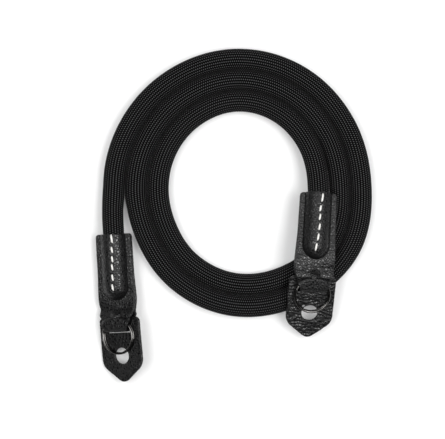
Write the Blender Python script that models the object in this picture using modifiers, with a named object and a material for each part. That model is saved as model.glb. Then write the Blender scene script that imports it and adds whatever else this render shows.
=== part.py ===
"""Coiled camera strap: a soft rope laid in three turns, with a leather tab, a split ring and a
leather bumper at each end. Metres, +Z up, lying on the plane Z = 0, seen in use from +Z.

Each end has its own frame, which follows the strap from the mouth of its tab to the tip of its
bumper: u runs across the leather, v along it and w out of its front.
"""

import math

import bmesh
import bpy
from mathutils import Matrix, Vector

# Rope and coil
ROPE_DIAMETER = 0.0100
COIL_RADIUS = 0.0510  # of the middle turn's centreline, where the table below says 1
LEAD_LENGTH = 0.0251  # rope between the coil and the left tab
LEAD_BOW = 0.0005  # how far that stretch bows outwards
LIFT_LEAN = 0.0006  # how far the inner turn leans inwards where it rises onto its neighbours
COIL_STEP = 10  # degrees between the route's points
PATH_STEP = 0.0005  # between the points of the path of each end

# Leather tab: one strip folded round the ring, with the rope's end between its two layers
STRIP_THICKNESS = 0.0014
STRIP_LENGTH = 0.0480  # from the mouth to the outside of the fold
FLANK_WIDTH = 0.0023  # flat margin on each side of the ridge over the rope
DOME_LENGTH = 0.0060  # the ridge fades out over this length past the rope's end
DOME_MARGIN = 0.0045  # flat leather between the ridge's end and the climb over the ring
FOLD_RADIUS = 0.0015  # of the strip's middle surface
TUNNEL_RAMP = 0.0042  # length over which the front layer climbs over the ring
BACK_RAMP = 0.0022

# Split ring
RING_DIAMETER = 0.0180
RING_WIRE = 0.0011
RING_TURN_GAP = 0.00015
RING_JOG = 50  # degrees of ring over which the wire steps from one turn to the other
RING_STEP = 16

# Leather bumper behind the ring
BUMPER_THICKNESS = 0.0015
BUMPER_WIDTH = 0.0232
BUMPER_SHOULDER = 0.0238  # from its top edge to the corner where the point begins
BUMPER_POINT = 0.0329  # from its top edge to the point's corner, before rounding
BUMPER_LAP = 0.0070  # how much of it the folded strip covers
CORNER_RADIUS = 0.0025
SHOULDER_RADIUS = 0.0070
TIP_RADIUS = 0.0042
SLOT_SLACK = 0.0007
LUG_HOLE_DIAMETER = 0.0080
LUG_HOLE_DROP = 0.0190  # of its centre from the top edge

CLEARANCE = 0.0003  # between pieces that touch

# How the coil lies. One row for each stretch of a lap, clockwise from its left side: the angle
# turned in degrees, the radius as a share of COIL_RADIUS, the distance between neighbouring
# turns as a share of ROPE_DIAMETER, and how many turns inward the rope has moved.
LAY = (
    # turned, radius, pitch, inward
    (0, 0.977, 1.094, 0.00),
    (30, 0.964, 1.074, 0.00),
    (60, 0.972, 1.049, 0.00),
    (90, 0.993, 1.025, 0.00),
    (120, 0.993, 1.025, 0.00),
    (150, 0.983, 1.027, 0.00),
    (180, 0.989, 1.045, 0.00),
    (210, 1.048, 1.074, 0.00),
    (240, 1.023, 1.094, 0.03),
    (270, 1.030, 1.089, 0.26),
    (300, 1.022, 1.089, 0.60),
    (330, 0.996, 1.089, 0.90),
)
LAPS = 2.521  # turned from the left side of the outer turn to the mouth of the right tab
LIFT_START = 2.22  # laps after which the inner turn starts to rise onto its neighbours

# How each end lies. One row for each stretch from the mouth on: the distance as a share of
# STRIP_LENGTH, the heading in degrees from -Y towards +X, the pitch as a share of the climb
# onto the turns beneath, and the roll in degrees with the +X side up.
LEFT_LIE = (
    # along, heading, pitch, roll
    (0.00, 3.2, 0.0, 16),
    (0.64, 4.0, 0.0, 20),
    (0.80, 4.9, 0.0, 30),
)
RIGHT_LIE = (
    # along, heading, pitch, roll
    (0.00, -3.4, 1.0, 0),
    (0.62, -4.2, 1.0, -2),
    (0.79, -4.8, -1.8, -9),
)

# Width of the strip as a share of its width at the mouth, down to where it narrows for its fold.
FLARE = (
    # along, width
    (0.00, 1.00),
    (0.35, 1.02),
    (0.70, 1.09),
    (0.82, 1.04),
    (0.88, 0.90),
    (0.93, 0.84),
)

ROPE_RADIUS = ROPE_DIAMETER / 2
LAYER_OFFSET = (STRIP_THICKNESS + CLEARANCE) / 2
RIDGE_RADIUS = ROPE_RADIUS + CLEARANCE + STRIP_THICKNESS / 2
TAB_RADIUS = RIDGE_RADIUS + STRIP_THICKNESS / 2
TAB_HALF_WIDTH = TAB_RADIUS + FLANK_WIDTH
BUMPER_TOP = STRIP_LENGTH - BUMPER_LAP
RIDGE_END = BUMPER_TOP - CLEARANCE - TUNNEL_RAMP - DOME_MARGIN
ROPE_INSERT = RIDGE_END - DOME_LENGTH  # length of rope inside each tab
RING_RADIUS = (RING_DIAMETER - RING_WIRE) / 2
RING_CENTRE = BUMPER_TOP + RING_DIAMETER / 2 + CLEARANCE / 2
RING_RISE = RING_WIRE + RING_TURN_GAP
RING_SEAT = BUMPER_THICKNESS / 2 + CLEARANCE + RING_WIRE / 2
TUNNEL_TOP = RING_SEAT + RING_RISE + RING_WIRE / 2 + CLEARANCE + STRIP_THICKNESS / 2
TUNNEL_FLOOR = -(BUMPER_THICKNESS / 2 + CLEARANCE + STRIP_THICKNESS / 2)
FOLD_INSIDE = STRIP_LENGTH - STRIP_THICKNESS - CLEARANCE
RING_INNER_RADIUS = RING_DIAMETER / 2 - RING_WIRE
FOLD_CHORD = math.sqrt(RING_INNER_RADIUS**2 - (RING_CENTRE - FOLD_INSIDE) ** 2)
FOLD_HALF_WIDTH = FOLD_CHORD - CLEARANCE
SLOT_TOP = BUMPER_LAP - STRIP_THICKNESS - CLEARANCE
SLOT_HEIGHT = STRIP_THICKNESS + CLEARANCE + SLOT_SLACK
SLOT_HALF_WIDTH = FOLD_HALF_WIDTH + CLEARANCE + SLOT_SLACK / 2

# Heights of the strap's axis: a tab lying on the floor, and one that climbs over the turns
LEFT_HEIGHT = TAB_RADIUS
RIGHT_MOUTH_HEIGHT = ROPE_DIAMETER + STRIP_THICKNESS + CLEARANCE * 1.5
RIGHT_CREST_HEIGHT = ROPE_DIAMETER + TAB_RADIUS + CLEARANCE / 2
CREST_ALONG = 0.62
CLIMB = math.asin((RIGHT_CREST_HEIGHT - RIGHT_MOUTH_HEIGHT) / (CREST_ALONG * STRIP_LENGTH))


def ease(share):
    """A smooth step from 0 to 1."""
    share = min(max(share, 0.0), 1.0)
    return share * share * (3 - 2 * share)


def eased_row(rows, at):
    """The table's row at a place between two of its rows, with a smooth change."""
    for before, after in zip(rows, rows[1:]):
        if at <= after[0]:
            share = ease((at - before[0]) / (after[0] - before[0]))
            return [a + (b - a) * share for a, b in zip(before[1:], after[1:])]
    return list(rows[-1][1:])


def spline_value(points, at):
    """A smooth curve (cubic, through every point) of value against place."""
    last = len(points) - 2
    index = next((i for i in range(last) if at <= points[i + 1][0]), last)
    (x0, y0), (x1, y1) = points[index], points[index + 1]
    xa, ya = points[max(index - 1, 0)]
    xb, yb = points[min(index + 2, last + 1)]
    slope0 = (y1 - ya) / (x1 - xa)
    slope1 = (yb - y0) / (xb - x0)
    span = x1 - x0
    t = (at - x0) / span
    return (
        (2 * t**3 - 3 * t**2 + 1) * y0
        + (t**3 - 2 * t**2 + t) * span * slope0
        + (3 * t**2 - 2 * t**3) * y1
        + (t**3 - t**2) * span * slope1
    )


def coil_radii():
    """The coil's radius at every row of the lay, lap after lap."""
    radii = []
    for lap in range(3):
        for turned, radius, pitch, inward in LAY:
            rank = 1 - lap - inward
            radii.append((turned + 360 * lap, COIL_RADIUS * radius + ROPE_DIAMETER * pitch * rank))
    return radii


def coil_point(turned):
    """A point of the rope's centreline in the coil, and the height at which it lies there."""
    angle = math.radians(180 - turned)
    lift = max(turned / 360 - LIFT_START, 0) / (LAPS - LIFT_START)
    radius = spline_value(coil_radii(), turned) - LIFT_LEAN * lift**3
    height = ROPE_RADIUS + (RIGHT_MOUTH_HEIGHT - ROPE_RADIUS) * lift**2
    return Vector((radius * math.cos(angle), radius * math.sin(angle), height))


class End:
    """One end of the strap: its path from the mouth of the tab on, and the frame along it."""

    def __init__(self, name, mouth, lie):
        self.name = name
        self.lie = lie
        self.points = [mouth]
        while len(self.points) * PATH_STEP < STRIP_LENGTH * 2:
            middle = (len(self.points) - 0.5) * PATH_STEP
            self.points.append(self.points[-1] + self.axes(middle)[1] * PATH_STEP)

    def axes(self, v):
        """The directions across, along and out of the leather at a distance v."""
        heading, pitch, roll = eased_row(self.lie, max(v, 0) / STRIP_LENGTH)
        heading, climb, roll = math.radians(heading), pitch * CLIMB, math.radians(roll)
        level = Vector((math.sin(heading), -math.cos(heading), 0))
        along = level * math.cos(climb) + Vector((0, 0, math.sin(climb)))
        across = Vector((0, 0, 1)).cross(along).normalized()
        out = along.cross(across)
        rolled = across * math.cos(roll) + out * math.sin(roll)
        return rolled, along, along.cross(rolled)

    def point(self, v):
        """A point of the axis, which runs on straight past both of its ends."""
        last = len(self.points) - 2
        index = min(max(int(v / PATH_STEP), 0), last)
        share = min(max(v / PATH_STEP - index, 0.0), 1.0)
        inside = self.points[index].lerp(self.points[index + 1], share)
        return inside + self.axes(v)[1] * (v - (index + share) * PATH_STEP)

    def at(self, u, v, w):
        """The place in the world of a point given in the end's own frame."""
        across, _, out = self.axes(v)
        return self.point(v) + across * u + out * w

    def matrix(self, v):
        """The frame at a distance v, with X across the leather, Y back up it and Z out of it."""
        across, along, out = self.axes(v)
        turned = Matrix((across, -along, out)).transposed().to_4x4()
        return Matrix.Translation(self.point(v)) @ turned


def make_ends():
    """The left end, on the floor beside the coil, and the right end, on top of its turns."""
    start = coil_point(0)
    left_mouth = Vector((start.x, start.y - LEAD_LENGTH, LEFT_HEIGHT))
    right_mouth = coil_point(LAPS * 360)
    return End("left", left_mouth, LEFT_LIE), End("right", right_mouth, RIGHT_LIE)


def rope_route(left, right):
    """Every point of the rope's centreline, from inside one tab to inside the other."""
    inserted = [ROPE_INSERT * share / 3 for share in (3, 2, 1, 0)]
    route = [left.point(v) for v in inserted]
    for share in (1 / 3, 2 / 3, 1):
        point = route[3].lerp(coil_point(0), share)
        point.x -= LEAD_BOW * math.sin(math.pi * share)
        point.z = LEFT_HEIGHT + (ROPE_RADIUS - LEFT_HEIGHT) * ease(share)
        route.append(point)
    turned = COIL_STEP
    while turned < LAPS * 360 - COIL_STEP / 3:
        route.append(coil_point(turned))
        turned += COIL_STEP
    return route + [right.point(v) for v in reversed(inserted)]


def make_material(name, colour, roughness, metallic=0.0):
    material = bpy.data.materials.new(name)
    material.use_nodes = True
    shader = material.node_tree.nodes["Principled BSDF"]
    shader.inputs["Base Color"].default_value = (*colour, 1)
    shader.inputs["Roughness"].default_value = roughness
    shader.inputs["Metallic"].default_value = metallic
    material.diffuse_color = (*colour, 1)
    return material


def add_object(name, data, material, parts, root):
    made = bpy.data.objects.new(name, data)
    data.materials.append(material)
    parts.objects.link(made)
    made.parent = root
    return made


def add_wire(name, points, radius, resolution):
    """A round wire or rope along a list of points, with closed ends."""
    curve = bpy.data.curves.new(name, "CURVE")
    curve.dimensions = "3D"
    curve.bevel_depth = radius
    curve.bevel_resolution = resolution
    curve.use_fill_caps = True
    spline = curve.splines.new("POLY")
    spline.points.add(len(points) - 1)
    for target, point in zip(spline.points, points):
        target.co = (*point, 1)
    return curve


def half_width(v):
    """Half the strip's width: it flares along the ridge and narrows to pass inside the ring."""
    along = v / STRIP_LENGTH
    flared = TAB_HALF_WIDTH * eased_row(FLARE, along)[0]
    narrowing = ease((along - FLARE[-1][0]) / (FOLD_INSIDE / STRIP_LENGTH - FLARE[-1][0]))
    return flared + (FOLD_HALF_WIDTH - flared) * narrowing


def ridge_fullness(v):
    """1 where the layers go round the rope, falling in a dome to 0 where they meet."""
    past = (v - ROPE_INSERT) / DOME_LENGTH
    return 1.0 if past <= 0 else math.sqrt(max(1 - past * past, 0.0))


def layer_rows(top, ramp):
    """One layer's rows from the mouth to the fold: distance, height and ridge fullness."""
    offset = math.copysign(LAYER_OFFSET, top)
    rows = [(ROPE_INSERT * i / 4, offset, 1.0) for i in range(5)]
    for degrees in (25, 45, 63, 78, 90):
        v = ROPE_INSERT + DOME_LENGTH * math.sin(math.radians(degrees))
        rows.append((v, offset, ridge_fullness(v)))
    for share in (0, 0.3, 0.6, 1):
        v = BUMPER_TOP - CLEARANCE - ramp * (1 - share)
        rows.append((v, offset + (top - offset) * ease(share), 0.0))
    return rows


def corner_rows(centre_v, centre_w, first, last):
    """A quarter turn of the fold, from one angle to another in degrees."""
    angles = [math.radians(first + (last - first) * i / 3) for i in range(4)]
    turns = [(math.cos(a) * FOLD_RADIUS, math.sin(a) * FOLD_RADIUS) for a in angles]
    return [(centre_v + dv, centre_w + dw, 0.0) for dv, dw in turns]


def strip_rows():
    """The whole strip's rows: down the front, round the ring and back up behind the bumper."""
    fold_v = STRIP_LENGTH - STRIP_THICKNESS / 2 - FOLD_RADIUS
    front = layer_rows(TUNNEL_TOP, TUNNEL_RAMP)
    back = layer_rows(TUNNEL_FLOOR, BACK_RAMP)
    upper = corner_rows(fold_v, TUNNEL_TOP - FOLD_RADIUS, 90, 0)
    lower = corner_rows(fold_v, TUNNEL_FLOOR + FOLD_RADIUS, 0, -90)
    middle = (BUMPER_TOP + fold_v) / 2
    bends = [(middle, TUNNEL_TOP, 0.0), *upper, *lower, (middle, TUNNEL_FLOOR, 0.0)]
    return front + bends + back[::-1]


def strip_columns():
    """Places across the strip: share of the half width, and whether it lies over the rope."""
    ridge = [math.cos(math.radians(angle)) for angle in (12, 33, 54, 75)]
    half = [(1.0, False), ((RIDGE_RADIUS + FLANK_WIDTH / 3) / TAB_HALF_WIDTH, False)]
    half += [(RIDGE_RADIUS * cosine / TAB_HALF_WIDTH, True) for cosine in ridge]
    return [(-share, over_rope) for share, over_rope in half] + half[::-1]


def strip_point(end, row, column):
    """A point of the strip's middle surface, whose ridge ends in a dome round the rope's end."""
    v, height, fullness = row
    share, over_rope = column
    width = half_width(v)
    u = share * (min(width, TAB_HALF_WIDTH) if over_rope else width)
    radius = RIDGE_RADIUS * fullness
    w = height
    if over_rope and abs(u) < radius:
        w = math.copysign(max(math.sqrt(radius**2 - u**2), abs(height)), height)
    return end.at(u, v, w)


def make_tab(end, material, parts, root):
    """The folded strip: its ridge is hollow round the rope's end and its fold round the ring."""
    rows, columns = strip_rows(), strip_columns()
    grid = bmesh.new()
    bmesh.ops.create_grid(grid, x_segments=len(columns) - 1, y_segments=len(rows) - 1, size=1)
    for vertex in grid.verts:
        column = round((vertex.co.x + 1) / 2 * (len(columns) - 1))
        row = round((1 - vertex.co.y) / 2 * (len(rows) - 1))
        vertex.co = strip_point(end, rows[row], columns[column])
    mesh = bpy.data.meshes.new(f"tab_{end.name}")
    grid.to_mesh(mesh)
    grid.free()
    mesh.shade_smooth()
    tab = add_object(mesh.name, mesh, material, parts, root)
    shell = tab.modifiers.new("leather", "SOLIDIFY")
    shell.thickness = STRIP_THICKNESS
    shell.offset = 0
    shell.use_even_offset = True
    return tab


def make_ring(end, material, parts, root):
    """A split ring: nearly two turns of wire, one on the other, with a step between them."""
    points = []
    turned = RING_JOG / 2 + 2
    while turned < 720 - RING_JOG / 2 - 2:
        angle = math.radians(turned + 90)
        rise = RING_RISE * ease((turned - 360) / RING_JOG + 0.5)
        points.append((RING_RADIUS * math.cos(angle), RING_RADIUS * math.sin(angle), rise))
        turned += RING_STEP if abs(turned - 360) > RING_JOG else RING_STEP / 2
    curve = add_wire(f"ring_{end.name}", points, RING_WIRE / 2, 2)
    ring = add_object(curve.name, curve, material, parts, root)
    ring.matrix_local = end.matrix(RING_CENTRE) @ Matrix.Translation((0, 0, RING_SEAT))
    return ring


def rounded_outline(corners):
    """The points of a polygon whose corners are rounded, each given as x, y and radius."""
    outline = []
    for index, (x, y, radius) in enumerate(corners):
        corner = Vector((x, y))
        before = (Vector(corners[index - 1][:2]) - corner).normalized()
        after = (Vector(corners[(index + 1) % len(corners)][:2]) - corner).normalized()
        half = before.angle(after) / 2
        centre = corner + (before + after).normalized() * (radius / math.sin(half))
        spoke = corner + before * (radius / math.tan(half)) - centre
        sweep = math.copysign(math.pi - 2 * half, before.cross(after))
        steps = max(2, round(math.degrees(abs(sweep)) / 20))
        for i in range(steps + 1):
            outline.append(centre + Matrix.Rotation(-sweep * i / steps, 2) @ spoke)
    return outline


def make_bumper(end, material, parts, root):
    """A leather plate with rounded shoulders and a point, a slot for the strip and a round hole."""
    half = BUMPER_WIDTH / 2
    right = [
        (half, 0, CORNER_RADIUS),
        (half, -BUMPER_SHOULDER, SHOULDER_RADIUS),
        (0, -BUMPER_POINT, TIP_RADIUS),
    ]
    left = [(-x, y, radius) for x, y, radius in right[1::-1]]
    slot_radius = SLOT_HEIGHT / 3
    slot = [
        (sx * SLOT_HALF_WIDTH, -SLOT_TOP - sy * SLOT_HEIGHT, slot_radius)
        for sx, sy in ((-1, 0), (1, 0), (1, 1), (-1, 1))
    ]
    hole_radius = LUG_HOLE_DIAMETER / 2
    turns = [math.radians(22.5 * i) for i in range(16)]
    hole = [(hole_radius * math.cos(a), hole_radius * math.sin(a) - LUG_HOLE_DROP) for a in turns]
    curve = bpy.data.curves.new(f"bumper_{end.name}", "CURVE")
    curve.dimensions = "2D"
    curve.fill_mode = "BOTH"
    curve.extrude = BUMPER_THICKNESS / 2
    for outline in (rounded_outline(right + left), rounded_outline(slot), hole):
        spline = curve.splines.new("POLY")
        spline.points.add(len(outline) - 1)
        spline.use_cyclic_u = True
        for target, (x, y) in zip(spline.points, outline):
            target.co = (x, y, 0, 1)
    bumper = add_object(curve.name, curve, material, parts, root)
    bumper.matrix_local = end.matrix(BUMPER_TOP)
    return bumper


def rest_at_origin(root, objects):
    """Moves the strap so that the origin is under the middle of its box, on the floor."""
    bpy.context.view_layer.update()
    graph = bpy.context.evaluated_depsgraph_get()
    corners = []
    for part in objects:
        shape = part.evaluated_get(graph)
        mesh = shape.to_mesh()
        corners += [part.matrix_world @ vertex.co for vertex in mesh.vertices]
        shape.to_mesh_clear()
    low = [min(corner[axis] for corner in corners) for axis in range(3)]
    high = [max(corner[axis] for corner in corners) for axis in range(3)]
    root.location = (-(low[0] + high[0]) / 2, -(low[1] + high[1]) / 2, -low[2])
    bpy.context.view_layer.update()


def main():
    for old in list(bpy.data.objects):
        bpy.data.objects.remove(old, do_unlink=True)
    parts = bpy.data.collections.new("coiled_camera_strap")
    bpy.context.scene.collection.children.link(parts)
    root = bpy.data.objects.new("strap_origin", None)
    parts.objects.link(root)
    nylon = make_material("black_nylon_sleeve", (0.012, 0.012, 0.013), 0.8)
    leather = make_material("black_pebbled_leather", (0.010, 0.010, 0.011), 0.45)
    steel = make_material("gunmetal_steel", (0.16, 0.15, 0.15), 0.22, 1.0)
    left, right = make_ends()
    rope = add_wire("rope", rope_route(left, right), ROPE_RADIUS, 4)
    made = [add_object("rope", rope, nylon, parts, root)]
    for end in (left, right):
        made.append(make_tab(end, leather, parts, root))
        made.append(make_ring(end, steel, parts, root))
        made.append(make_bumper(end, leather, parts, root))
    rest_at_origin(root, made)


main()
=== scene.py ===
"""The looks of a coiled camera strap: a woven rope laid in three turns, with a pebbled leather
tab, a split ring and a leather bumper at each end. Metres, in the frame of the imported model.

Each end has its own frame, which follows the strap from the mouth of its tab to the tip of its
bumper: u runs across the leather, v along it and w out of its front.
"""

import math

import bmesh
import bpy
import numpy as np
from mathutils import Matrix, Vector, geometry, noise

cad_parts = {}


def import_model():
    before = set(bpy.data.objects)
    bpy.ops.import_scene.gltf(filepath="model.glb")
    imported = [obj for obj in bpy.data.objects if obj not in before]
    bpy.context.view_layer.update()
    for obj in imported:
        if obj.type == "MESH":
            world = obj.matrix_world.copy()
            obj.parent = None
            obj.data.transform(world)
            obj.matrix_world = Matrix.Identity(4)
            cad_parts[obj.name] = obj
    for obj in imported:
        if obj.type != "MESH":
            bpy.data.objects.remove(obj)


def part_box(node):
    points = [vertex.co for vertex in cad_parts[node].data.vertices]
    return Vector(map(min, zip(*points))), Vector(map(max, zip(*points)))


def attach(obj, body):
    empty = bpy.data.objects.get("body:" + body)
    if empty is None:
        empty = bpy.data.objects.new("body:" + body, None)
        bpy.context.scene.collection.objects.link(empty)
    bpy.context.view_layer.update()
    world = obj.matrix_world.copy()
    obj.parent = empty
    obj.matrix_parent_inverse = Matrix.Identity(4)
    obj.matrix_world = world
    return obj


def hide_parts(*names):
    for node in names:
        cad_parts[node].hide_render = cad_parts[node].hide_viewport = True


# Rope and coil
ROPE_DIAMETER = 0.0100
COIL_RADIUS = 0.0510  # of the middle turn's centreline, where the table below says 1
LEAD_LENGTH = 0.0251  # rope between the coil and the left tab
LEAD_BOW = 0.0005  # how far that stretch bows outwards
LIFT_LEAN = 0.0006  # how far the inner turn leans inwards where it rises onto its neighbours
PATH_STEP = 0.0005  # between the points of the path of each end
ROUTE_POINTS = 24  # steps of the route inside each tab, and along the lead
ROUTE_SMOOTHING = 6  # passes

# Leather tab
STRIP_THICKNESS = 0.0014
STRIP_LENGTH = 0.0480  # from the mouth to the outside of the fold
FLANK_WIDTH = 0.0023  # flat margin on each side of the ridge over the rope
DOME_LENGTH = 0.0060  # the ridge fades out over this length past the rope's end
DOME_MARGIN = 0.0045  # flat leather between the ridge's end and the climb over the ring
FOLD_RADIUS = 0.0015  # of the strip's middle surface
TUNNEL_RAMP = 0.0042  # length over which the front layer climbs over the ring
BACK_RAMP = 0.0022

# Split ring
RING_DIAMETER = 0.0180
RING_WIRE = 0.0011
RING_TURN_GAP = 0.00015
RING_JOG = 50  # degrees of ring over which the wire steps from one turn to the other
RING_STEP = 3  # degrees
RING_END_GAP = 2  # degrees of ring left free at each end of the wire
WIRE_SWELL = 0.00003  # over the source's wire, whose facets lie inside its true radius

# Leather bumper behind the ring
BUMPER_THICKNESS = 0.0015
BUMPER_WIDTH = 0.0232
BUMPER_SHOULDER = 0.0238  # from its top edge to the corner where the point begins
BUMPER_POINT = 0.0329  # from its top edge to the point's corner, before rounding
BUMPER_LAP = 0.0070  # how much of it the folded strip covers
CORNER_RADIUS = 0.0025
SHOULDER_RADIUS = 0.0070
TIP_RADIUS = 0.0042
SLOT_SLACK = 0.0007
LUG_HOLE_DIAMETER = 0.0080
LUG_HOLE_DROP = 0.0190  # of its centre from the top edge

CLEARANCE = 0.0003  # between pieces that touch

# How the coil lies. One row for each stretch of a lap, clockwise from its left side: the angle
# turned in degrees, the radius as a share of COIL_RADIUS, the distance between neighbouring
# turns as a share of ROPE_DIAMETER, and how many turns inward the rope has moved.
LAY = (
    # turned, radius, pitch, inward
    (0, 0.977, 1.094, 0.00),
    (30, 0.964, 1.074, 0.00),
    (60, 0.972, 1.049, 0.00),
    (90, 0.993, 1.025, 0.00),
    (120, 0.993, 1.025, 0.00),
    (150, 0.983, 1.027, 0.00),
    (180, 0.989, 1.045, 0.00),
    (210, 1.048, 1.074, 0.00),
    (240, 1.023, 1.094, 0.03),
    (270, 1.030, 1.089, 0.26),
    (300, 1.022, 1.089, 0.60),
    (330, 0.996, 1.089, 0.90),
)
LAPS = 2.521  # turned from the left side of the outer turn to the mouth of the right tab
LIFT_START = 2.22  # laps after which the inner turn starts to rise onto its neighbours
OWN_REACH = 0.06  # length of rope to each side of a point that is no neighbour of it
NEIGHBOUR_REACH = 0.015

# How each end lies. One row for each stretch from the mouth on: the distance as a share of
# STRIP_LENGTH, the heading in degrees from -Y towards +X, the pitch as a share of the climb
# onto the turns beneath, and the roll in degrees with the +X side up.
LEFT_LIE = (
    # along, heading, pitch, roll
    (0.00, 3.2, 0.0, 16),
    (0.64, 4.0, 0.0, 20),
    (0.80, 4.9, 0.0, 30),
)
RIGHT_LIE = (
    # along, heading, pitch, roll
    (0.00, -3.4, 1.0, 0),
    (0.62, -4.2, 1.0, -2),
    (0.79, -4.8, -1.8, -9),
)

# Width of the strip as a share of its width at the mouth, down to where it narrows for its fold.
FLARE = (
    # along, width
    (0.00, 1.00),
    (0.35, 1.02),
    (0.70, 1.09),
    (0.82, 1.04),
    (0.88, 0.90),
    (0.93, 0.84),
)

ROPE_RADIUS = ROPE_DIAMETER / 2
LAYER_OFFSET = (STRIP_THICKNESS + CLEARANCE) / 2
RIDGE_RADIUS = ROPE_RADIUS + CLEARANCE + STRIP_THICKNESS / 2
TAB_RADIUS = RIDGE_RADIUS + STRIP_THICKNESS / 2
TAB_HALF_WIDTH = TAB_RADIUS + FLANK_WIDTH
BUMPER_TOP = STRIP_LENGTH - BUMPER_LAP
RIDGE_END = BUMPER_TOP - CLEARANCE - TUNNEL_RAMP - DOME_MARGIN
ROPE_INSERT = RIDGE_END - DOME_LENGTH  # length of rope inside each tab
RING_RADIUS = (RING_DIAMETER - RING_WIRE) / 2
RING_CENTRE = BUMPER_TOP + RING_DIAMETER / 2 + CLEARANCE / 2
RING_RISE = RING_WIRE + RING_TURN_GAP
RING_SEAT = BUMPER_THICKNESS / 2 + CLEARANCE + RING_WIRE / 2
TUNNEL_TOP = RING_SEAT + RING_RISE + RING_WIRE / 2 + CLEARANCE + STRIP_THICKNESS / 2
TUNNEL_FLOOR = -(BUMPER_THICKNESS / 2 + CLEARANCE + STRIP_THICKNESS / 2)
FOLD_INSIDE = STRIP_LENGTH - STRIP_THICKNESS - CLEARANCE
RING_INNER_RADIUS = RING_DIAMETER / 2 - RING_WIRE
FOLD_CHORD = math.sqrt(RING_INNER_RADIUS**2 - (RING_CENTRE - FOLD_INSIDE) ** 2)
FOLD_HALF_WIDTH = FOLD_CHORD - CLEARANCE
SLOT_TOP = BUMPER_LAP - STRIP_THICKNESS - CLEARANCE
SLOT_HEIGHT = STRIP_THICKNESS + CLEARANCE + SLOT_SLACK
SLOT_HALF_WIDTH = FOLD_HALF_WIDTH + CLEARANCE + SLOT_SLACK / 2
LEFT_HEIGHT = TAB_RADIUS
RIGHT_MOUTH_HEIGHT = ROPE_DIAMETER + STRIP_THICKNESS + CLEARANCE * 1.5
RIGHT_CREST_HEIGHT = ROPE_DIAMETER + TAB_RADIUS + CLEARANCE / 2
CREST_ALONG = 0.62
CLIMB = math.asin((RIGHT_CREST_HEIGHT - RIGHT_MOUTH_HEIGHT) / (CREST_ALONG * STRIP_LENGTH))

# Weave of the rope's sleeve
SLEEVE_RADIUS = 0.00518
WALES = 24  # ribs round the rope
COURSE = 0.00105  # from one cross rib to the next
RIB_RELIEF = 0.00017
PILLOW_TOP = 0.75  # shares of the relief: where a rib crosses on top, between two crossings
PILLOW_DIP = -0.1  # and in the groove beside the rib
RIB_GROOVE = -0.8
SLEEVE_TAPER = 0.003  # over which the sleeve narrows to enter the tab
SLEEVE_TAPER_INSIDE = 0.001
ROPE_FLOOR_GAP = 0.00006
SLEEVE_SPREAD = 0.09  # share by which the sleeve spreads sideways to meet the next turn

# Leather's finish
PEBBLE = 0.00130  # width of one pebble of the grain
PEBBLE_RELIEF = 0.00008
PEBBLE_LEVEL = 0.6  # of the relief, where the leather's plain surface lies
PEBBLE_WARP = 0.35  # of a pebble's width, by which the grain is bent
PEBBLE_WARP_SCALE = 0.7  # of the bends against the pebbles
PEBBLE_SLOPE = 0.42
GRAIN_SEED = 1  # of the bends, which would change from run to run without it
TAB_CREASE = 0.00005
CREASES_ACROSS = 190  # wrinkles for each metre
CREASES_ALONG = 620
CREASE_SHARPNESS = 3.2
FINE_CREASE_SCALE = 2.1
FINE_CREASE_SHARE = 0.4
EDGE_ROUND = 0.0005  # how far in the leather's edges are rounded
EDGE_SHARES = (0.16, 0.4, 0.7)  # of that distance, where the mesh has its rows
EDGE_THINNING = 0.45
UNEVENNESS = 0.00018  # of the hand-pressed leather
SWELLS_ACROSS = 130  # uneven places for each metre of the strip
SWELLS_ALONG = 110
BUMPER_SWELLS = 90
MOUTH_CORNER = 0.0016  # radius of the strip's corners in plan
RIDGE_FILLET = 0.0016  # over which the ridge runs out into the flat leather
EDGE_DROOP = 0.0016  # of the strip's edges beside the ring
DROOP_SPAN = 0.0026
FOLD_EASE = 0.0030
FOLD_STEPS = 8
BUMPER_FLOOR_GAP = 0.00004
BUMPER_FINISH = {
    # end: sag of the point, depth of the wrinkles
    "left": (0.0004, 0.00010),
    "right": (0.0010, 0.00022),
}
MESH_STEP = 0.0003
ROW_SPACING = 0.87  # of the bumper's triangles, as a share of their side

# Stitches along each ridge. One row for each: distance of its middle from the mouth, distance
# to the right of the ridge's middle, and length, in millimetres.
LEFT_STITCHES = (
    # along, aside, length
    (2.3, 1.1, 4.0),
    (7.7, 1.0, 2.8),
    (12.2, 1.0, 2.8),
    (16.2, 0.85, 2.8),
    (21.2, 0.8, 2.9),
    (26.0, 0.6, 2.9),
)
RIGHT_STITCHES = (
    # along, aside, length
    (3.1, 1.45, 4.0),
    (8.4, 0.8, 2.8),
    (12.7, 0.7, 2.8),
    (17.5, 0.7, 3.0),
    (22.5, 0.35, 3.2),
    (27.4, -0.25, 3.4),
)
THREAD_RADIUS = 0.00048
THREAD_LIFT = 0.00018  # of a stitch's middle over the leather
THREAD_DIVE = 0.0007  # from there down to its ends
THREAD_LEAN = 0.00018  # of each half stitch to one side
THREAD_THINNING = 0.45
THREAD_STEPS = 12
STITCH_HOLE_RADIUS = 0.0006
STITCH_HOLE_DEPTH = 0.0004
STITCH_HOLE_REACH = 3  # radii, past which the dimple is left out

# Camera and ground
CAMERA_HEIGHT = 0.800
CAMERA_X = -0.00724  # from the coil's centre
CAMERA_Y = -0.01798
VIEW_WIDTH = 0.2192  # what the photo's width spans at the height of the rope's middle
SENSOR_WIDTH = 36.0
GROUND_HALF = 3.0
GROUND_COLOUR = 0.74
GROUND_GLOW = 0.15
SKY_GLOW = 0.03
SOFTBOXES = (
    # name, place, width, depth, power in watts
    ("overhead_panel", (0.10, 0.25, 1.2), 2.6, 1.3, 16),
    ("right_softbox", (0.46, -0.05, 1.0), 0.45, 0.6, 7),
    ("left_softbox", (-0.40, -0.05, 1.0), 0.35, 0.6, 4),
)


def ease(share):
    """A smooth step from 0 to 1."""
    share = min(max(share, 0.0), 1.0)
    return share * share * (3 - 2 * share)


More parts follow.
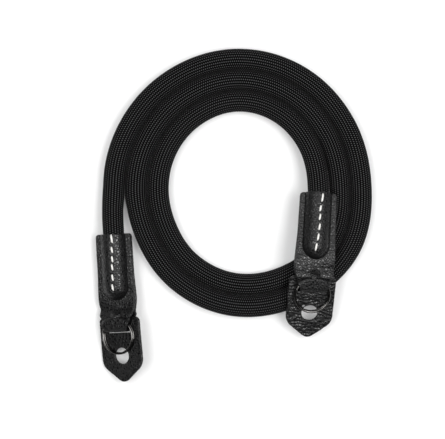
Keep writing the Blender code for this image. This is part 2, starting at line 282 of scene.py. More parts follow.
def eased_row(rows, at):
    """The table's row at a place between two of its rows, with a smooth change."""
    for before, after in zip(rows, rows[1:]):
        if at <= after[0]:
            share = ease((at - before[0]) / (after[0] - before[0]))
            return [a + (b - a) * share for a, b in zip(before[1:], after[1:])]
    return list(rows[-1][1:])


def spline_value(points, at):
    """A smooth curve (cubic, through every point) of value against place."""
    last = len(points) - 2
    index = next((i for i in range(last) if at <= points[i + 1][0]), last)
    (x0, y0), (x1, y1) = points[index], points[index + 1]
    xa, ya = points[max(index - 1, 0)]
    xb, yb = points[min(index + 2, last + 1)]
    slope0 = (y1 - ya) / (x1 - xa)
    slope1 = (yb - y0) / (xb - x0)
    span = x1 - x0
    t = (at - x0) / span
    return (
        (2 * t**3 - 3 * t**2 + 1) * y0
        + (t**3 - 2 * t**2 + t) * span * slope0
        + (3 * t**2 - 2 * t**3) * y1
        + (t**3 - t**2) * span * slope1
    )


def coil_radii():
    """The coil's radius at every row of the lay, lap after lap."""
    radii = []
    for lap in range(3):
        for turned, radius, pitch, inward in LAY:
            rank = 1 - lap - inward
            radii.append((turned + 360 * lap, COIL_RADIUS * radius + ROPE_DIAMETER * pitch * rank))
    return radii


RADII = coil_radii()


def coil_point(turned):
    """A point of the rope's centreline in the coil, and the height at which it lies there."""
    angle = math.radians(180 - turned)
    lift = max(turned / 360 - LIFT_START, 0) / (LAPS - LIFT_START)
    radius = spline_value(RADII, turned) - LIFT_LEAN * lift**3
    height = ROPE_RADIUS + (RIGHT_MOUTH_HEIGHT - ROPE_RADIUS) * lift**2
    return Vector((radius * math.cos(angle), radius * math.sin(angle), height))


class End:
    """One end of the strap: its path from the mouth of the tab on, and the frame along it."""

    def __init__(self, name, mouth, lie, stitches):
        self.name = name
        self.lie = lie
        self.stitches = stitches
        self.origin = Vector((0, 0, 0))
        self.points = [mouth]
        while len(self.points) * PATH_STEP < STRIP_LENGTH * 2:
            middle = (len(self.points) - 0.5) * PATH_STEP
            self.points.append(self.points[-1] + self.axes(middle)[1] * PATH_STEP)

    def axes(self, v):
        """The directions across, along and out of the leather at a distance v."""
        heading, pitch, roll = eased_row(self.lie, max(v, 0) / STRIP_LENGTH)
        heading, climb, roll = math.radians(heading), pitch * CLIMB, math.radians(roll)
        level = Vector((math.sin(heading), -math.cos(heading), 0))
        along = level * math.cos(climb) + Vector((0, 0, math.sin(climb)))
        across = Vector((0, 0, 1)).cross(along).normalized()
        out = along.cross(across)
        rolled = across * math.cos(roll) + out * math.sin(roll)
        return rolled, along, along.cross(rolled)

    def point(self, v):
        """A point of the axis, which runs on straight past both of its ends."""
        last = len(self.points) - 2
        index = min(max(int(v / PATH_STEP), 0), last)
        share = min(max(v / PATH_STEP - index, 0.0), 1.0)
        inside = self.points[index].lerp(self.points[index + 1], share)
        return self.origin + inside + self.axes(v)[1] * (v - (index + share) * PATH_STEP)

    def at(self, u, v, w):
        """The place in the world of a point given in the end's own frame."""
        across, _, out = self.axes(v)
        return self.point(v) + across * u + out * w

    def matrix(self, v):
        """The frame at a distance v, with X across the leather, Y back up it and Z out of it."""
        across, along, out = self.axes(v)
        turned = Matrix((across, -along, out)).transposed().to_4x4()
        return Matrix.Translation(self.point(v)) @ turned


def make_ends():
    """The left end, on the floor beside the coil, and the right end, on top of its turns."""
    start = coil_point(0)
    left_mouth = Vector((start.x, start.y - LEAD_LENGTH, LEFT_HEIGHT))
    right_mouth = coil_point(LAPS * 360)
    left = End("left", left_mouth, LEFT_LIE, LEFT_STITCHES)
    right = End("right", right_mouth, RIGHT_LIE, RIGHT_STITCHES)
    return left, right


def rope_line(left, right):
    """The rope's centreline, from inside one tab to inside the other, before it is placed."""
    inserted = [ROPE_INSERT * (1 - i / ROUTE_POINTS) for i in range(ROUTE_POINTS + 1)]
    line = [left.point(v) for v in inserted]
    mouth = line[-1]
    for i in range(1, ROUTE_POINTS + 1):
        share = i / ROUTE_POINTS
        point = mouth.lerp(coil_point(0), share)
        point.x -= LEAD_BOW * math.sin(math.pi * share)
        point.z = LEFT_HEIGHT + (ROPE_RADIUS - LEFT_HEIGHT) * ease(share)
        line.append(point)
    line += [coil_point(turned) for turned in range(1, int(LAPS * 360))]
    return line + [right.point(v) for v in reversed(inserted)]


def resampled(points, step):
    """The same line with points at even steps."""
    line = np.array([tuple(point) for point in points])
    lengths = np.r_[0, np.cumsum(np.linalg.norm(np.diff(line, axis=0), axis=1))]
    at = np.linspace(0, lengths[-1], round(lengths[-1] / step) + 1)
    return np.stack([np.interp(at, lengths, line[:, axis]) for axis in range(3)], axis=1)


def smoothed(line, passes):
    """The line with its small corners eased, and its ends in place."""
    for _ in range(passes):
        line[1:-1] = (line[:-2] + 2 * line[1:-1] + line[2:]) / 4
    return line


# Meshes


def add_object(name, data):
    """An object in the scene's own collection."""
    made = bpy.data.objects.new(name, data)
    bpy.context.scene.collection.objects.link(made)
    return made


def dress(piece, replaced):
    """Puts a piece under the root body and hides the node of the model that it stands for."""
    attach(piece, "root")
    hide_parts(replaced)


def add_mesh(name, vertices, faces, material, uvs=None, smooth=True):
    """A mesh object from arrays, with a UV for each corner of its faces if they are given."""
    mesh = bpy.data.meshes.new(name)
    mesh.from_pydata([tuple(v) for v in vertices], [], [tuple(f) for f in faces])
    if uvs is not None:
        layer = mesh.uv_layers.new(name="UVMap")
        layer.data.foreach_set("uv", np.asarray(uvs, np.float32).ravel())
    if smooth:
        mesh.shade_smooth()
    mesh.materials.append(material)
    return add_object(name, mesh)


def grid_faces(rows, columns, closed):
    """The quads of a grid of vertices, and the row and column at which each one starts."""
    r, c = np.meshgrid(np.arange(rows - 1), np.arange(columns if closed else columns - 1))
    r, c = r.T.ravel(), c.T.ravel()
    after = (c + 1) % columns
    faces = [r * columns + c, r * columns + after, (r + 1) * columns + after, (r + 1) * columns + c]
    return np.stack(faces, axis=1), r, c


def side_room(line, step):
    """The room to each side of the centreline before the next turn, and its side and course."""
    tangent = np.gradient(line, axis=0)
    tangent /= np.linalg.norm(tangent, axis=1)[:, None]
    side = np.cross(tangent, (0, 0, 1.0))
    side /= np.linalg.norm(side, axis=1)[:, None]
    apart = round(OWN_REACH / step)
    room = np.full((len(line), 2), np.inf)
    for index in range(len(line)):
        far = np.r_[0 : max(index - apart, 0), min(index + apart, len(line)) : len(line)]
        offset = line[far] - line[index]
        near = np.abs(offset[:, 2]) < ROPE_RADIUS / 2
        near &= np.hypot(*offset[:, :2].T) < NEIGHBOUR_REACH
        lateral = offset[near] @ side[index]
        distance = np.linalg.norm(offset[near], axis=1) / 2
        for column, facing in enumerate((lateral > 0, lateral < 0)):
            if facing.any():
                room[index, column] = distance[facing].min()
    return room, side, tangent


def make_rope(left, right, shift, material):
    """The woven sleeve: ribs round it and along it, each crossing a small raised pillow."""
    step = COURSE / 2
    route = [point + shift for point in rope_line(left, right)]
    line = smoothed(resampled(route, step), ROUTE_SMOOTHING)
    rows, columns = len(line), WALES * 2
    room, side, tangent = side_room(line, step)
    up = np.cross(side, tangent)
    turn = np.arange(columns) * 2 * math.pi / columns
    row, column = np.meshgrid(np.arange(rows), np.arange(columns), indexing="ij")
    crest_column = column % 2 == 0
    crest_row = (row + column // 2) % 2 == 0
    rib = np.where(crest_row, PILLOW_TOP, PILLOW_DIP)
    relief = np.where(crest_column, rib, RIB_GROOVE) * RIB_RELIEF
    end_distance = np.minimum(row, rows - 1 - row) * step
    outside = (end_distance - ROPE_INSERT + SLEEVE_TAPER_INSIDE) / SLEEVE_TAPER
    radius = ROPE_RADIUS + (SLEEVE_RADIUS - ROPE_RADIUS) * np.clip(outside, 0, 1) + relief
    lateral = radius * np.cos(turn)
    reach = np.where(lateral > 0, room[:, :1], room[:, 1:])
    ratio = reach / SLEEVE_RADIUS
    spread = np.clip(np.minimum(ratio - 1, 1 + 2 * SLEEVE_SPREAD - ratio), 0, SLEEVE_SPREAD)
    lateral = np.clip(lateral * (1 + spread), -reach, reach)
    vertical = radius * np.sin(turn)
    vertices = line[:, None] + side[:, None] * lateral[..., None]
    vertices += up[:, None] * vertical[..., None]
    vertices[..., 2] = np.maximum(vertices[..., 2], ROPE_FLOOR_GAP)
    faces, r, c = grid_faces(rows, columns, True)
    corners = ((c, r), (c + 1, r), (c + 1, r + 1), (c, r + 1))
    uvs = np.stack([np.stack(corner, 1) for corner in corners], axis=1) / 2
    rope = add_mesh("woven_rope", vertices.reshape(-1, 3), faces[:, ::-1], material, uvs[:, ::-1])
    dress(rope, "rope")
    return rope, line


def half_width(v):
    """Half the strip's width: it flares along the ridge and narrows to pass inside the ring."""
    along = v / STRIP_LENGTH
    flared = TAB_HALF_WIDTH * eased_row(FLARE, along)[0]
    narrowing = ease((along - FLARE[-1][0]) / (FOLD_INSIDE / STRIP_LENGTH - FLARE[-1][0]))
    return flared + (FOLD_HALF_WIDTH - flared) * narrowing


def ridge_fullness(v):
    """1 where the layers go round the rope, falling in a dome to 0 where they meet."""
    past = (v - ROPE_INSERT) / DOME_LENGTH
    return 1.0 if past <= 0 else math.sqrt(max(1 - past * past, 0.0))


def layer_height(v, top, ramp):
    """How far one layer's middle surface lies from the axis, beside the ridge."""
    offset = math.copysign(LAYER_OFFSET, top)
    return offset + (top - offset) * ease((v - (BUMPER_TOP - CLEARANCE - ramp)) / ramp)


def dome_height(u, radius):
    """Height of a round ridge at a distance from its middle, below 0 beside it."""
    square = radius * radius - u * u
    return math.copysign(math.sqrt(abs(square)), square)


def eased_top(first, second):
    """The larger of two heights, with a soft corner where they are nearly the same."""
    near = max(1 - abs(first - second) / RIDGE_FILLET, 0)
    return max(first, second) + near * near * RIDGE_FILLET / 4


def edge_droop(u, v):
    """How far the strip's edges hang down beside the ring."""
    above = ease((v - BUMPER_TOP + TUNNEL_RAMP) / TUNNEL_RAMP) * ease((FOLD_INSIDE - v) / FOLD_EASE)
    ring_half = math.sqrt(max((RING_DIAMETER / 2) ** 2 - (RING_CENTRE - v) ** 2, 0))
    return EDGE_DROOP * above * ease((abs(u) - ring_half - CLEARANCE) / DROOP_SPAN)


def fold_rows():
    """The rows round the fold: distance and height, from the front layer to the back one."""
    fold_v = STRIP_LENGTH - STRIP_THICKNESS / 2 - FOLD_RADIUS
    rows = []
    for centre, first in ((TUNNEL_TOP - FOLD_RADIUS, 90), (TUNNEL_FLOOR + FOLD_RADIUS, 0)):
        for i in range(FOLD_STEPS + 1):
            angle = math.radians(first - 90 * i / FOLD_STEPS)
            rows.append((fold_v + FOLD_RADIUS * math.cos(angle),
                         centre + FOLD_RADIUS * math.sin(angle)))
    return rows


def edge_steps(length):
    """Places from 0 to a length, close together where the edges are rounded."""
    count = max(2, round((length - 2 * EDGE_ROUND) / MESH_STEP))
    inner = np.linspace(EDGE_ROUND, length - EDGE_ROUND, count + 1)[1:-1]
    start = np.array([0, *EDGE_SHARES, 1]) * EDGE_ROUND
    return np.r_[start, inner, length - start[::-1]]


def edge_profile(distance):
    """The share of the leather's half thickness left at a distance from its cut edge."""
    inward = np.clip(distance / EDGE_ROUND, 0, 1)
    return 1 - EDGE_THINNING + EDGE_THINNING * np.sqrt(np.clip(1 - (1 - inward) ** 2, 0, 1))


def grain(point):
    """The grain's relief at a point: pebbles with creases between them."""
    bent = point / PEBBLE
    bent = bent + noise.noise_vector(bent * PEBBLE_WARP_SCALE) * PEBBLE_WARP
    distances = noise.voronoi(bent)[0]
    return PEBBLE_RELIEF * (ease((distances[1] - distances[0]) / PEBBLE_SLOPE) - PEBBLE_LEVEL)


def crease(across, along):
    """Long shallow wrinkles across the leather, from about -1 to 1, with sharp crests."""
    stretched = Vector((across * CREASES_ACROSS, along * CREASES_ALONG, 0))
    fine = noise.noise(stretched * FINE_CREASE_SCALE)
    return 1 - CREASE_SHARPNESS * abs(noise.noise(stretched)) + fine * FINE_CREASE_SHARE


def shell(name, middle, normal, reach, relief, material, uvs):
    """A closed leather shell round a grid of points of its middle surface."""
    rows, columns = middle.shape[:2]
    half = STRIP_THICKNESS / 2 * reach[..., None]
    front = middle + normal * (half + relief[..., None])
    back = middle - normal * half
    vertices = np.concatenate([front.reshape(-1, 3), back.reshape(-1, 3)])
    faces = grid_faces(rows, columns, False)[0]
    count = rows * columns
    mouth, side = np.arange(columns - 1), np.arange(rows - 1) * columns
    border = np.r_[mouth, side + columns - 1, count - 1 - mouth, count - columns - side]
    after = np.roll(border, -1)
    rim = np.stack([border, border + count, after + count, after], axis=1)
    all_faces = np.concatenate([faces, faces[:, ::-1] + count, rim])
    return add_mesh(name, vertices, all_faces, material, uvs.reshape(-1, 2)[all_faces % count])


def strip_grid(end):
    """The strip's rows, its middle surface, the share of its thickness there and its UVs."""
    front_end = STRIP_LENGTH - STRIP_THICKNESS / 2 - FOLD_RADIUS
    down = [(v, layer_height(v, TUNNEL_TOP, TUNNEL_RAMP), 1) for v in edge_steps(front_end)]
    back = [(v, layer_height(v, TUNNEL_FLOOR, BACK_RAMP), -1) for v in edge_steps(front_end)]
    bend = [(v, w, 0) for v, w in fold_rows()]
    rows = down[:-1] + bend + back[:-1][::-1]
    shares = edge_steps(2 * TAB_HALF_WIDTH) / TAB_HALF_WIDTH - 1
    ridge_share = RIDGE_RADIUS / TAB_HALF_WIDTH
    middle = np.zeros((len(rows), len(shares), 3))
    reach = np.zeros((len(rows), len(shares)))
    uvs = np.zeros((len(rows), len(shares), 2))
    travelled = 0.0
    for i, (v, height, side) in enumerate(rows):
        if i:
            travelled += math.hypot(v - rows[i - 1][0], height - rows[i - 1][1])
        width = half_width(v)
        cut = MOUTH_CORNER - math.sqrt(MOUTH_CORNER**2 - max(MOUTH_CORNER - v, 0) ** 2)
        foot = ridge_share * min(width, TAB_HALF_WIDTH)
        radius = RIDGE_RADIUS * ridge_fullness(v) if side else 0.0
        for j, share in enumerate(shares):
            beside = max(abs(share) - ridge_share, 0) / (1 - ridge_share)
            over_rope = min(abs(share) / ridge_share, 1)
            u = math.copysign(foot * over_rope + (width - foot - cut) * beside, share)
            w = height
            if side:
                w = math.copysign(eased_top(abs(height), dome_height(u, radius)), side)
            if side > 0:
                w -= edge_droop(u, v)
                swell = Vector((u * SWELLS_ACROSS, v * SWELLS_ALONG, 3))
                w += UNEVENNESS * noise.noise(swell)
            middle[i, j] = end.at(u, v, w)
            reach[i, j] = min((1 - abs(share)) * TAB_HALF_WIDTH, v if side else 1.0)
            uvs[i, j] = (u, travelled)
    return rows, middle, edge_profile(reach), uvs


def surface_normals(middle):
    """The unit normals of a grid of points."""
    normal = np.cross(np.gradient(middle, axis=0), np.gradient(middle, axis=1))
    return normal / np.maximum(np.linalg.norm(normal, axis=2), 1e-12)[..., None]


def make_tab(end, material):
    """The folded strip with its grain, its creases and the dimples at its stitches."""
    rows, middle, reach, uvs = strip_grid(end)
    normal = surface_normals(middle)
    if normal[len(rows) // 4, middle.shape[1] // 2] @ np.array(end.axes(0.01)[2]) < 0:
        normal = -normal
    holes = [
        (aside / 1000, (along + sign * length / 2) / 1000)
        for along, aside, length in end.stitches
        for sign in (-1, 1)
    ]
    relief = np.zeros(reach.shape)
    for i, (v, _, side) in enumerate(rows):
        for j in range(reach.shape[1]):
            u = uvs[i, j, 0]
            height = grain(Vector(middle[i, j])) + TAB_CREASE * crease(u, uvs[i, j, 1])
            if side > 0:
                for hole_u, hole_v in holes:
                    away = ((u - hole_u) ** 2 + (v - hole_v) ** 2) / STITCH_HOLE_RADIUS**2
                    if away < STITCH_HOLE_REACH**2:
                        height -= STITCH_HOLE_DEPTH * math.exp(-away)
            relief[i, j] = height * reach[i, j]
    tab = shell(f"leather_tab_{end.name}", middle, normal, reach, relief, material, uvs)
    dress(tab, f"tab_{end.name}")
    return tab


def make_ring(end, material):
    """A split ring: nearly two turns of round wire, one on the other, with a step between."""
    points = []
    turned = RING_JOG / 2 + RING_END_GAP
    while turned < 720 - RING_JOG / 2 - RING_END_GAP:
        angle = math.radians(turned + 90)
        rise = RING_RISE * ease((turned - 360) / RING_JOG + 0.5)
        points.append((RING_RADIUS * math.cos(angle), RING_RADIUS * math.sin(angle), rise))
        turned += RING_STEP
    ring = add_wire(f"split_ring_{end.name}", points, RING_WIRE / 2 + WIRE_SWELL, material)
    ring.data.transform(end.matrix(RING_CENTRE) @ Matrix.Translation((0, 0, RING_SEAT)))
    dress(ring, f"ring_{end.name}")
    return ring


def add_wire(name, points, radius, material, thickness=None):
    """A round wire along a list of points, as a mesh with closed ends. It may vary in thickness."""
    curve = bpy.data.curves.new(name, "CURVE")
    curve.dimensions = "3D"
    curve.bevel_depth = radius
    curve.bevel_resolution = 4
    curve.use_fill_caps = True
    spline = curve.splines.new("POLY")
    spline.points.add(len(points) - 1)
    for index, (target, point) in enumerate(zip(spline.points, points)):
        target.co = (*point, 1)
        target.radius = 1.0 if thickness is None else thickness[index]
    carrier = add_object(name, curve)
    bpy.context.view_layer.update()
    graph = bpy.context.evaluated_depsgraph_get()
    mesh = bpy.data.meshes.new_from_object(carrier.evaluated_get(graph))
    bpy.data.objects.remove(carrier)
    mesh.name = name
    mesh.materials.clear()
    mesh.materials.append(material)
    mesh.shade_smooth()
    return add_object(name, mesh)


def rounded_outline(corners, step):
    """A polygon with rounded corners, given as x, y and radius, as points at about even steps."""
    outline = []
    for index, (x, y, radius) in enumerate(corners):
        corner = Vector((x, y))
        before = (Vector(corners[index - 1][:2]) - corner).normalized()
        after = (Vector(corners[(index + 1) % len(corners)][:2]) - corner).normalized()
        half = before.angle(after) / 2
        centre = corner + (before + after).normalized() * (radius / math.sin(half))
        spoke = corner + before * (radius / math.tan(half)) - centre
        sweep = math.copysign(math.pi - 2 * half, before.cross(after))
        steps = max(4, round(abs(sweep) * radius / step))
        for i in range(steps + 1):
            outline.append(centre + Matrix.Rotation(-sweep * i / steps, 2) @ spoke)
    closed = [(p.x, p.y, 0) for p in outline + outline[:1]]
    return resampled(closed, step)[:-1, :2]


def bumper_outlines():
    """The bumper's own outline, its slot and its lug hole, with Y up from its top edge."""
    half = BUMPER_WIDTH / 2
    right = [
        (half, 0, CORNER_RADIUS),
        (half, -BUMPER_SHOULDER, SHOULDER_RADIUS),
        (0, -BUMPER_POINT, TIP_RADIUS),
    ]
    left = [(-x, y, radius) for x, y, radius in right[1::-1]]
    slot = [
        (sx * SLOT_HALF_WIDTH, -SLOT_TOP - sy * SLOT_HEIGHT, SLOT_HEIGHT / 3)
        for sx, sy in ((-1, 0), (1, 0), (1, 1), (-1, 1))
    ]
    radius = LUG_HOLE_DIAMETER / 2
    count = round(2 * math.pi * radius / MESH_STEP)
    turns = np.arange(count) * 2 * math.pi / count
    hole = np.stack([radius * np.cos(turns), radius * np.sin(turns) - LUG_HOLE_DROP], axis=1)
    return [rounded_outline(right + left, MESH_STEP), rounded_outline(slot, MESH_STEP), hole]


def distance_to(outline, points):
    """The distance from each point to the nearest part of a closed outline."""
    start, end = outline, np.roll(outline, -1, axis=0)
    run = end - start
    length = (run**2).sum(axis=1)
    best = np.full(len(points), np.inf)
    for a, d, l in zip(start, run, length):
        share = np.clip(((points - a) @ d) / l, 0, 1)
        best = np.minimum(best, np.linalg.norm(points - a - share[:, None] * d, axis=1))
    return best


def is_inside(outline, points):
    """Whether each point lies inside a closed outline."""
    x, y = points.T
    inside = np.zeros(len(points), bool)
    for (xa, ya), (xb, yb) in zip(outline, np.roll(outline, -1, axis=0)):
        if ya != yb:
            crosses = (ya > y) != (yb > y)
            inside ^= crosses & (x < (xb - xa) * (y - ya) / (yb - ya) + xa)
    return inside


def bumper_plan():
    """The bumper's flat triangles: points, their distance from a cut edge, faces and edge loops."""
    outlines = bumper_outlines()
    span_x = np.arange(-BUMPER_WIDTH / 2, BUMPER_WIDTH / 2, MESH_STEP)
    span_y = np.arange(-BUMPER_POINT, 0, MESH_STEP * ROW_SPACING)
    rows = enumerate(span_y)
    lattice = np.array([(x + (k % 2) * MESH_STEP / 2, y) for k, y in rows for x in span_x])
    inside = is_inside(outlines[0], lattice) & ~is_inside(outlines[1], lattice)
    inside &= ~is_inside(outlines[2], lattice)
    away = np.min([distance_to(outline, lattice) for outline in outlines], axis=0)
    points = list(lattice[inside & (away > EDGE_ROUND * 0.95)])
    loops = []
    for number, outline in enumerate(outlines):
        start = len(points)
        points += list(outline)
        loops.append([start + i for i in range(len(outline))])
        following = np.roll(outline, -1, axis=0) - np.roll(outline, 1, axis=0)
        side = np.stack([following[:, 1], -following[:, 0]], axis=1)
        side /= np.linalg.norm(side, axis=1)[:, None]
        probe = is_inside(outline, outline[:1] + side[:1] * 1e-5)[0]
        inward = side if probe == (number == 0) else -side
        for share in EDGE_SHARES:
            points += list(outline + inward * EDGE_ROUND * share)
    edges = [(loop[i], loop[(i + 1) % len(loop)]) for loop in loops for i in range(len(loop))]
    found = geometry.delaunay_2d_cdt([Vector(p) for p in points], edges, [], 0, 1e-7)
    flat = np.array([tuple(p) for p in found[0]])
    origin = {old: new for new, olds in enumerate(found[3]) for old in olds}
    faces = np.array(found[2])
    centre = flat[faces].mean(axis=1)
    keep = is_inside(outlines[0], centre) & ~is_inside(outlines[1], centre)
    keep &= ~is_inside(outlines[2], centre)
    faces = faces[keep]
    loops = [[origin[i] for i in loop] for loop in loops]
    away = np.min([distance_to(outline, flat) for outline in outlines], axis=0)
    return flat, away, faces, loops


def make_bumper(end, plan, material):
    """The pointed leather plate, slightly bent, with rounded edges, grain and creases."""
    flat, away, faces, loops = plan
    sag, wrinkle = BUMPER_FINISH[end.name]
    place = end.matrix(BUMPER_TOP)
    reach = edge_profile(away)
    count = len(flat)
    front, back = [], []
    for (x, y), share in zip(flat, reach):
        past = max(-y - BUMPER_LAP * 1.2, 0) / BUMPER_POINT
        swell = Vector((x * BUMPER_SWELLS, y * BUMPER_SWELLS, 7))
        bend = -sag * past**2 + UNEVENNESS * noise.noise(swell)
        middle = place @ Vector((x, y, bend))
        half = BUMPER_THICKNESS / 2 * share
        relief = grain(middle) + wrinkle * crease(x, y)
        front.append(place @ Vector((x, y, bend + half + relief * share)))
        back.append(place @ Vector((x, y, bend - half)))
    vertices = np.array([tuple(v) for v in front + back])
    vertices[:, 2] = np.maximum(vertices[:, 2], BUMPER_FLOOR_GAP)
    triangles = [tuple(f) for f in faces] + [tuple(i + count for i in f[::-1]) for f in faces]
    rim = []
    for loop in loops:
        for first, second in zip(loop, loop[1:] + loop[:1]):
            rim.append((first, first + count, second + count, second))
    a, b, c = (flat[faces[:, k]] for k in range(3))
    if np.cross(b - a, c - a).sum() < 0:
        triangles = [f[::-1] for f in triangles]
    mesh = bpy.data.meshes.new(f"leather_bumper_{end.name}")
    mesh.from_pydata([tuple(v) for v in vertices], [], triangles + rim)
    mesh.validate()
    turn_outwards(mesh)
    mesh.materials.append(material)
    mesh.shade_smooth()
    bumper = add_object(mesh.name, mesh)
    dress(bumper, f"bumper_{end.name}")
    return bumper


def turn_outwards(mesh):
    """Turns all faces of a closed mesh outwards."""
    editable = bmesh.new()
    editable.from_mesh(mesh)
    bmesh.ops.recalc_face_normals(editable, faces=editable.faces)
    editable.to_mesh(mesh)
    editable.free()


def ridge_surface(end, u, v, lift):
    """A point at a height over the outer surface of the tab's ridge."""
    radius = RIDGE_RADIUS * ridge_fullness(v)
    slope = math.asin(max(min(u / RIDGE_RADIUS, 1), -1))
    middle = max(dome_height(u, radius), LAYER_OFFSET)
    outwards = STRIP_THICKNESS / 2 + lift
    return end.at(u + outwards * math.sin(slope), v, middle + outwards * math.cos(slope))


def make_stitches(end, material):
    """White thread: each stitch rises out of one hole and goes down the next."""
    joined = []
    lean = THREAD_LEAN if end.name == "left" else -THREAD_LEAN
    for along, aside, length in end.stitches:
        points, widths = [], []
        for i in range(THREAD_STEPS + 1):
            place = i / THREAD_STEPS * 2 - 1
            v = (along + place * length / 2) / 1000
            u = aside / 1000 + lean * place
            points.append(ridge_surface(end, u, v, THREAD_LIFT - THREAD_DIVE * place**6))
            widths.append(1.0 - THREAD_THINNING * place**4)
        joined.append(add_wire(f"stitch_{end.name}", points, THREAD_RADIUS, material, widths))
    return join_pieces(joined, f"stitches_{end.name}")


def join_pieces(pieces, name):
    """Several meshes as one object."""
    whole = bmesh.new()
    for piece in pieces:
        whole.from_mesh(piece.data)
    mesh = bpy.data.meshes.new(name)
    whole.to_mesh(mesh)
    whole.free()
    mesh.materials.append(pieces[0].data.materials[0])
    for piece in pieces:
        bpy.data.objects.remove(piece)
    mesh.shade_smooth()
    made = add_object(name, mesh)
    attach(made, "root")
    return made


# Materials


def new_material(name, colour, roughness, metallic=0.0):
    """A material with its node tree and its shader."""
    material = bpy.data.materials.new(name)
    material.use_nodes = True
    shader = material.node_tree.nodes["Principled BSDF"]
    shader.inputs["Base Color"].default_value = (*colour, 1)
    shader.inputs["Roughness"].default_value = roughness
    shader.inputs["Metallic"].default_value = metallic
    return material, material.node_tree, shader


def node(tree, kind, **values):
    """A node with its inputs set or linked, by name with spaces as underscores."""
    made = tree.nodes.new(kind)
    for key, value in values.items():
        name = key.replace("_", " ")
        if name in made.inputs:
            target = made.inputs[name]
            if isinstance(value, bpy.types.NodeSocket):
                tree.links.new(value, target)
            else:
                target.default_value = value
        else:
            setattr(made, key, value)
    return made


def maths(tree, operation, first, second=0.0):
    """One step of arithmetic on numbers or sockets."""
    made = tree.nodes.new("ShaderNodeMath")
    made.operation = operation
    for target, value in zip(made.inputs, (first, second)):
        if isinstance(value, bpy.types.NodeSocket):
            tree.links.new(value, target)
        else:
            target.default_value = value
    return made.outputs[0]


def ramp(tree, factor, stops):
    """A colour ramp through stops, each given as a place and a colour or a grey."""
    made = tree.nodes.new("ShaderNodeValToRGB")
    elements = made.color_ramp.elements
    while len(elements) < len(stops):
        elements.new(0.5)
    for element, (place, colour) in zip(elements, stops):
        element.position = place
        element.color = (*np.broadcast_to(colour, 3), 1)
    tree.links.new(factor, made.inputs[0])
    return made.outputs[0]


def woven_nylon():
    """Black yarn: a pillow where each rib of the weave crosses, and fine filaments over it, with
    painted shade in the grooves of the weave.
    """
    material, tree, shader = new_material("woven_black_nylon", (0.016, 0.016, 0.017), 0.62)
    shader.inputs["Specular IOR Level"].default_value = 0.02
    uv = node(tree, "ShaderNodeUVMap", uv_map="UVMap").outputs[0]
    parts = node(tree, "ShaderNodeSeparateXYZ", Vector=uv)
    wale, course = parts.outputs[0], parts.outputs[1]
    number = maths(tree, "FLOOR", maths(tree, "ADD", wale, 0.5))
    shifted = maths(tree, "ADD", course, maths(tree, "MULTIPLY", number, 0.5))
    across = maths(tree, "COSINE", maths(tree, "MULTIPLY", wale, 2 * math.pi))
    along = maths(tree, "COSINE", maths(tree, "MULTIPLY", shifted, 2 * math.pi))
    rib = maths(tree, "MULTIPLY_ADD", across, 0.5)
    rib.node.inputs[2].default_value = 0.5
    pillow = maths(tree, "MULTIPLY_ADD", along, 0.5)
    pillow.node.inputs[2].default_value = 0.5
    height = maths(tree, "MULTIPLY", rib, pillow)
    strands = maths(tree, "SINE", maths(tree, "MULTIPLY", shifted, 2 * math.pi * 4))
    height = maths(tree, "ADD", height, maths(tree, "MULTIPLY", strands, 0.1))
    # Painted shade: the colour falls to near black in the grooves of the weave and is lighter on its
    # pillows.
    colour = ramp(tree, height, [(0.30, 0.0005), (1.0, (0.095, 0.095, 0.097))])
    tree.links.new(colour, shader.inputs["Base Color"])
    bump = node(tree, "ShaderNodeBump", Strength=0.8, Distance=0.00012, Height=height)
    tree.links.new(bump.outputs[0], shader.inputs["Normal"])
    return material


def pebbled_leather():
    """Black leather: glossy pebbles with matte creases, and fine hair cells, with painted shade in
    the creases.
    """
    material, tree, shader = new_material("pebbled_black_leather", (0.010, 0.010, 0.011), 0.40)
    shader.inputs["Specular IOR Level"].default_value = 0.4
    place = node(tree, "ShaderNodeTexCoord").outputs["Object"]
    warp = node(tree, "ShaderNodeTexNoise", Vector=place, Scale=700.0, Detail=1.0)
    offset = node(tree, "ShaderNodeVectorMath", operation="SCALE", Vector=warp.outputs["Color"])
    offset.inputs["Scale"].default_value = PEBBLE * 0.5
    bent = node(tree, "ShaderNodeVectorMath", operation="ADD")
    tree.links.new(place, bent.inputs[0])
    tree.links.new(offset.outputs[0], bent.inputs[1])
    cells = node(tree, "ShaderNodeTexVoronoi", feature="DISTANCE_TO_EDGE", Scale=1 / PEBBLE,
                 Vector=bent.outputs[0])
    fine = node(tree, "ShaderNodeTexNoise", Vector=place, Scale=3500.0, Detail=2.0)
    crests = ramp(tree, cells.outputs["Distance"], [(0.0, 0), (0.22, 1)])
    height = maths(tree, "ADD", crests, maths(tree, "MULTIPLY", fine.outputs[0], 0.08))
    # Painted shade: the colour is darker in the creases between the pebbles.
    colour = ramp(tree, crests, [(0.0, 0.0005), (1.0, (0.004, 0.004, 0.0043))])
    gloss = ramp(tree, crests, [(0.0, 0.70), (1.0, 0.17)])
    tree.links.new(colour, shader.inputs["Base Color"])
    tree.links.new(gloss, shader.inputs["Roughness"])
    bump = node(tree, "ShaderNodeBump", Strength=1.0, Distance=0.00008, Height=height)
    tree.links.new(bump.outputs[0], shader.inputs["Normal"])
    return material


def gunmetal():
    """Dark polished steel wire with faint drawing marks."""
    material, tree, shader = new_material("gunmetal_wire", (0.110, 0.107, 0.104), 0.14, 1.0)
    place = node(tree, "ShaderNodeTexCoord").outputs["Object"]
    marks = node(tree, "ShaderNodeTexNoise", Vector=place, Scale=2500.0, Detail=3.0)
    gloss = ramp(tree, marks.outputs[0], [(0.3, 0.12), (0.8, 0.18)])
    tree.links.new(gloss, shader.inputs["Roughness"])
    return material


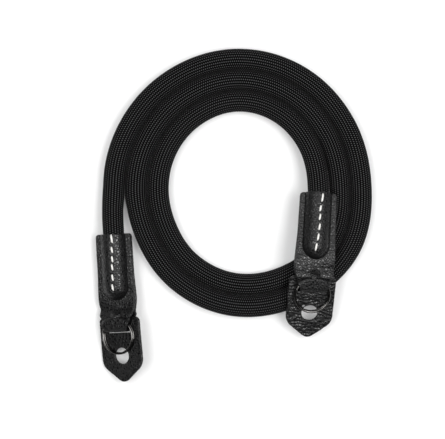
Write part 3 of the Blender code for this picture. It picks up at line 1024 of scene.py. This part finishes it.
def white_thread():
    """Waxed white thread with the twist of its plies."""
    material, tree, shader = new_material("white_thread", (0.80, 0.79, 0.76), 0.55)
    place = node(tree, "ShaderNodeTexCoord").outputs["Object"]
    plies = node(tree, "ShaderNodeTexWave", Vector=place, Scale=420.0, Distortion=1.5)
    plies.bands_direction = "DIAGONAL"
    bump = node(tree, "ShaderNodeBump", Strength=0.6, Distance=0.0001, Height=plies.outputs["Fac"])
    tree.links.new(bump.outputs[0], shader.inputs["Normal"])
    return material


# Stage


def make_camera(shift):
    """A camera that looks straight down at the strap."""
    camera = bpy.data.cameras.new("photo_camera")
    camera.sensor_width = SENSOR_WIDTH
    camera.lens = SENSOR_WIDTH * (CAMERA_HEIGHT - ROPE_RADIUS) / VIEW_WIDTH
    camera.clip_start = 0.01
    made = add_object("photo_camera", camera)
    made.location = (shift.x + CAMERA_X, shift.y + CAMERA_Y, CAMERA_HEIGHT)
    bpy.context.scene.camera = made


def add_softbox(name, location, width, depth, power):
    """A level softbox that faces straight down."""
    light = bpy.data.lights.new(name, "AREA")
    light.shape = "RECTANGLE"
    light.size = width
    light.size_y = depth
    light.energy = power
    add_object(name, light).location = location


def make_stage():
    """A plain white ground and soft studio light."""
    material, _, shader = new_material("white_ground", (GROUND_COLOUR,) * 3, 0.9)
    shader.inputs["Emission Color"].default_value = (1, 1, 1, 1)
    shader.inputs["Emission Strength"].default_value = GROUND_GLOW
    corners = [(x * GROUND_HALF, y * GROUND_HALF, 0) for x, y in ((-1, -1), (1, -1), (1, 1), (-1, 1))]
    ground = add_mesh("ground", corners, [(0, 1, 2, 3)], material, smooth=False)
    for softbox in SOFTBOXES:
        add_softbox(*softbox)
    world = bpy.data.worlds.new("studio")
    world.use_nodes = True
    sky = world.node_tree.nodes["Background"]
    sky.inputs["Color"].default_value = (1, 1, 1, 1)
    sky.inputs["Strength"].default_value = SKY_GLOW
    bpy.context.scene.world = world
    bpy.context.scene.view_settings.view_transform = "Standard"


def placed_origin(left, right):
    """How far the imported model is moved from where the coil's own formulas put it."""
    line = rope_line(left, right)
    low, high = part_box("rope")
    return Vector((
        high.x - ROPE_RADIUS - max(point.x for point in line),
        high.y - ROPE_RADIUS - max(point.y for point in line),
        low.z + ROPE_RADIUS - min(point.z for point in line),
    ))


def main():
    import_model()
    noise.seed_set(GRAIN_SEED)
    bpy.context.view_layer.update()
    left, right = make_ends()
    shift = placed_origin(left, right)
    make_camera(shift)
    rope, line = make_rope(left, right, shift, woven_nylon())
    left.origin = shift
    right.origin = shift
    leather, steel, thread = pebbled_leather(), gunmetal(), white_thread()
    plan = bumper_plan()
    for end in (left, right):
        make_tab(end, leather)
        make_ring(end, steel)
        make_bumper(end, plan, leather)
        make_stitches(end, thread)
    make_stage()


main()
